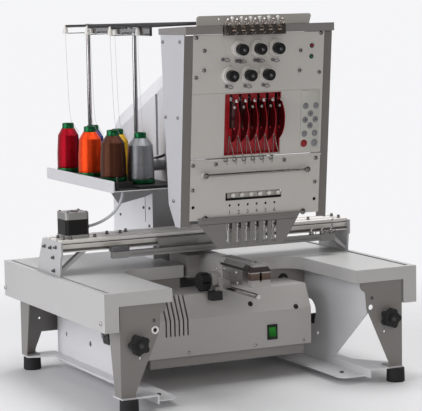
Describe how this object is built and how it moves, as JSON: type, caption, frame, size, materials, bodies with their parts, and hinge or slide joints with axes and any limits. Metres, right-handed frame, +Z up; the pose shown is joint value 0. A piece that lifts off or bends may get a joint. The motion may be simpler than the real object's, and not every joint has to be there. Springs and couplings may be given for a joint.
{
  "type": "single-head embroidery machine",
  "caption": "Table-top single-head embroidery machine with leaning needle head, free arm, open-front table, sliding hoop gantry and a spool tray on the left.",
  "frame": {"origin": "middle of the machine's outline on the ground under the rubber feet", "axes": "+X to the machine's right, +Y from the operator's side to the back, +Z up"},
  "size_m": [0.7, 0.6172, 0.761],
  "materials": {
    "light_paint": "fine powder coat",
    "panel_paint": "fine powder coat",
    "grey_paint": "fine powder coat",
    "dark_paint": "fine powder coat",
    "rubber": "matt",
    "black_plastic": "satin",
    "chrome": "polished",
    "steel": "satin",
    "aluminium": "extruded",
    "motor_black": "satin",
    "red_metal": "anodised",
    "switch_green": "glossy",
    "cable_grey": "satin",
    "thread_red": "wound thread",
    "thread_orange": "wound thread",
    "thread_brown": "wound thread",
    "thread_blue": "wound thread",
    "thread_yellow": "wound thread",
    "thread_grey": "wound thread"
  },
  "bodies": {
    "frame": {"base_side_left": "light_paint", "base_side_right": "light_paint", "rubber_feet": "rubber", "leg_front_left": "dark_paint", "leg_front_right": "dark_paint", "leg_rear_left": "dark_paint", "leg_rear_right": "dark_paint", "table_top": "light_paint", "side_beam_left": "light_paint", "side_beam_right": "light_paint", "base_cover": "light_paint", "base_chassis": "grey_paint", "lower_arm": "grey_paint", "needle_plate": "steel", "arm_column": "light_paint", "spool_tray": "light_paint", "thread_stand": "chrome", "thread_cone_1": "thread_red", "thread_cone_2": "thread_orange", "thread_cone_3": "thread_brown", "thread_cone_4": "thread_blue", "thread_cone_5": "thread_yellow", "thread_cone_6": "thread_grey", "motor_cable": "cable_grey"},
    "star_left": {"star_knob_left": "black_plastic"},
    "star_right": {"star_knob_right": "black_plastic"},
    "rocker": {"power_rocker": "switch_green"},
    "hook": {"rotary_hook": "steel"},
    "frame_knob": {"hand_knob": "black_plastic"},
    "gantry": {"gantry_bracket_left": "grey_paint", "gantry_bracket_right": "grey_paint", "x_beam": "aluminium", "x_motor": "motor_black"},
    "carriage": {"x_carriage": "aluminium", "hoop_bar": "aluminium"},
    "head": {"head_frame": "grey_paint", "front_panel": "panel_paint", "lower_panel": "panel_paint", "head_cap": "grey_paint", "front_guide": "chrome", "shield_unit": "red_metal", "needle_guard": "steel"},
    "tension_1": {"tension_knob_1": "black_plastic"},
    "tension_2": {"tension_knob_2": "black_plastic"},
    "tension_3": {"tension_knob_3": "black_plastic"},
    "tension_4": {"tension_knob_4": "black_plastic"},
    "tension_5": {"tension_knob_5": "black_plastic"},
    "tension_6": {"tension_knob_6": "black_plastic"},
    "needle_1": {"needle_bar_1": "steel"},
    "needle_2": {"needle_bar_2": "steel"},
    "needle_3": {"needle_bar_3": "steel"},
    "needle_4": {"needle_bar_4": "steel"},
    "needle_5": {"needle_bar_5": "steel"},
    "needle_6": {"needle_bar_6": "steel"},
    "lever_1": {"takeup_lever_1": "steel"},
    "lever_2": {"takeup_lever_2": "steel"},
    "lever_3": {"takeup_lever_3": "steel"},
    "lever_4": {"takeup_lever_4": "steel"},
    "lever_5": {"takeup_lever_5": "steel"},
    "lever_6": {"takeup_lever_6": "steel"}
  },
  "joints": [
    {"name": "star_left_turn", "type": "hinge", "parent": "frame", "child": "star_left", "pos_m": [-0.283, -0.29, 0.135], "axis": [0, 1, 0], "range_deg": [-360, 360]},
    {"name": "star_right_turn", "type": "hinge", "parent": "frame", "child": "star_right", "pos_m": [0.283, -0.29, 0.135], "axis": [0, 1, 0], "range_deg": [-360, 360]},
    {"name": "rocker_tilt", "type": "hinge", "parent": "frame", "child": "rocker", "pos_m": [0.097, -0.12, 0.098], "axis": [1, 0, 0], "range_deg": [0, 14]},
    {"name": "hook_turn", "type": "hinge", "parent": "frame", "child": "hook", "pos_m": [0, -0.24, 0.2445], "axis": [0, 1, 0], "continuous": true},
    {"name": "frame_knob_turn", "type": "hinge", "parent": "frame", "child": "frame_knob", "pos_m": [-0.052, -0.104, 0.214], "axis": [1, 0, 0], "range_deg": [-360, 360]},
    {"name": "gantry_slide", "type": "slide", "parent": "frame", "child": "gantry", "axis": [0, 1, 0], "range_m": [-0.115, 0.036], "deforming": ["motor_cable"]},
    {"name": "carriage_slide", "type": "slide", "parent": "gantry", "child": "carriage", "axis": [1, 0, 0], "range_m": [-0.1, 0.04]},
    {"name": "head_slide", "type": "slide", "parent": "frame", "child": "head", "axis": [1, 0, 0], "range_m": [-0.04, 0.06]},
    {"name": "tension_1_turn", "type": "hinge", "parent": "head", "child": "tension_1", "pos_m": [-0.074, -0.29385, 0.64419], "axis": [0, -0.9959, -0.0906], "range_deg": [-360, 360]},
    {"name": "tension_2_turn", "type": "hinge", "parent": "head", "child": "tension_2", "pos_m": [-0.054, -0.29847, 0.69498], "axis": [0, -0.9959, -0.0906], "range_deg": [-360, 360]},
    {"name": "tension_3_turn", "type": "hinge", "parent": "head", "child": "tension_3", "pos_m": [-0.034, -0.29385, 0.64419], "axis": [0, -0.9959, -0.0906], "range_deg": [-360, 360]},
    {"name": "tension_4_turn", "type": "hinge", "parent": "head", "child": "tension_4", "pos_m": [-0.014, -0.29847, 0.69498], "axis": [0, -0.9959, -0.0906], "range_deg": [-360, 360]},
    {"name": "tension_5_turn", "type": "hinge", "parent": "head", "child": "tension_5", "pos_m": [0.006, -0.29385, 0.64419], "axis": [0, -0.9959, -0.0906], "range_deg": [-360, 360]},
    {"name": "tension_6_turn", "type": "hinge", "parent": "head", "child": "tension_6", "pos_m": [0.026, -0.29847, 0.69498], "axis": [0, -0.9959, -0.0906], "range_deg": [-360, 360]},
    {"name": "needle_1_slide", "type": "slide", "parent": "head", "child": "needle_1", "axis": [0, 0, 1], "range_m": [-0.044, 0], "stiffness_N_per_m": 300, "springref_m": 0.01},
    {"name": "needle_2_slide", "type": "slide", "parent": "head", "child": "needle_2", "axis": [0, 0, 1], "range_m": [-0.044, 0], "stiffness_N_per_m": 300, "springref_m": 0.01},
    {"name": "needle_3_slide", "type": "slide", "parent": "head", "child": "needle_3", "axis": [0, 0, 1], "range_m": [-0.044, 0], "stiffness_N_per_m": 300, "springref_m": 0.01},
    {"name": "needle_4_slide", "type": "slide", "parent": "head", "child": "needle_4", "axis": [0, 0, 1], "range_m": [-0.044, 0], "stiffness_N_per_m": 300, "springref_m": 0.01},
    {"name": "needle_5_slide", "type": "slide", "parent": "head", "child": "needle_5", "axis": [0, 0, 1], "range_m": [-0.044, 0], "stiffness_N_per_m": 300, "springref_m": 0.01},
    {"name": "needle_6_slide", "type": "slide", "parent": "head", "child": "needle_6", "axis": [0, 0, 1], "range_m": [-0.044, 0], "stiffness_N_per_m": 300, "springref_m": 0.01},
    {"name": "lever_1_swing", "type": "hinge", "parent": "head", "child": "lever_1", "pos_m": [-0.06, -0.20747, 0.55566], "axis": [1, 0, 0], "range_deg": [0, 50]},
    {"name": "lever_2_swing", "type": "hinge", "parent": "head", "child": "lever_2", "pos_m": [-0.04, -0.20747, 0.55566], "axis": [1, 0, 0], "range_deg": [0, 50]},
    {"name": "lever_3_swing", "type": "hinge", "parent": "head", "child": "lever_3", "pos_m": [-0.02, -0.20747, 0.55566], "axis": [1, 0, 0], "range_deg": [0, 50]},
    {"name": "lever_4_swing", "type": "hinge", "parent": "head", "child": "lever_4", "pos_m": [0, -0.20747, 0.55566], "axis": [1, 0, 0], "range_deg": [0, 50]},
    {"name": "lever_5_swing", "type": "hinge", "parent": "head", "child": "lever_5", "pos_m": [0.02, -0.20747, 0.55566], "axis": [1, 0, 0], "range_deg": [0, 50]},
    {"name": "lever_6_swing", "type": "hinge", "parent": "head", "child": "lever_6", "pos_m": [0.04, -0.20747, 0.55566], "axis": [1, 0, 0], "range_deg": [0, 50]}
  ],
  "couplings": [
    {"joint": "lever_1_swing", "follows": "needle_1_slide", "rad_per_m": -19.8},
    {"joint": "lever_2_swing", "follows": "needle_2_slide", "rad_per_m": -19.8},
    {"joint": "lever_3_swing", "follows": "needle_3_slide", "rad_per_m": -19.8},
    {"joint": "lever_4_swing", "follows": "needle_4_slide", "rad_per_m": -19.8},
    {"joint": "lever_5_swing", "follows": "needle_5_slide", "rad_per_m": -19.8},
    {"joint": "lever_6_swing", "follows": "needle_6_slide", "rad_per_m": -19.8}
  ]
}
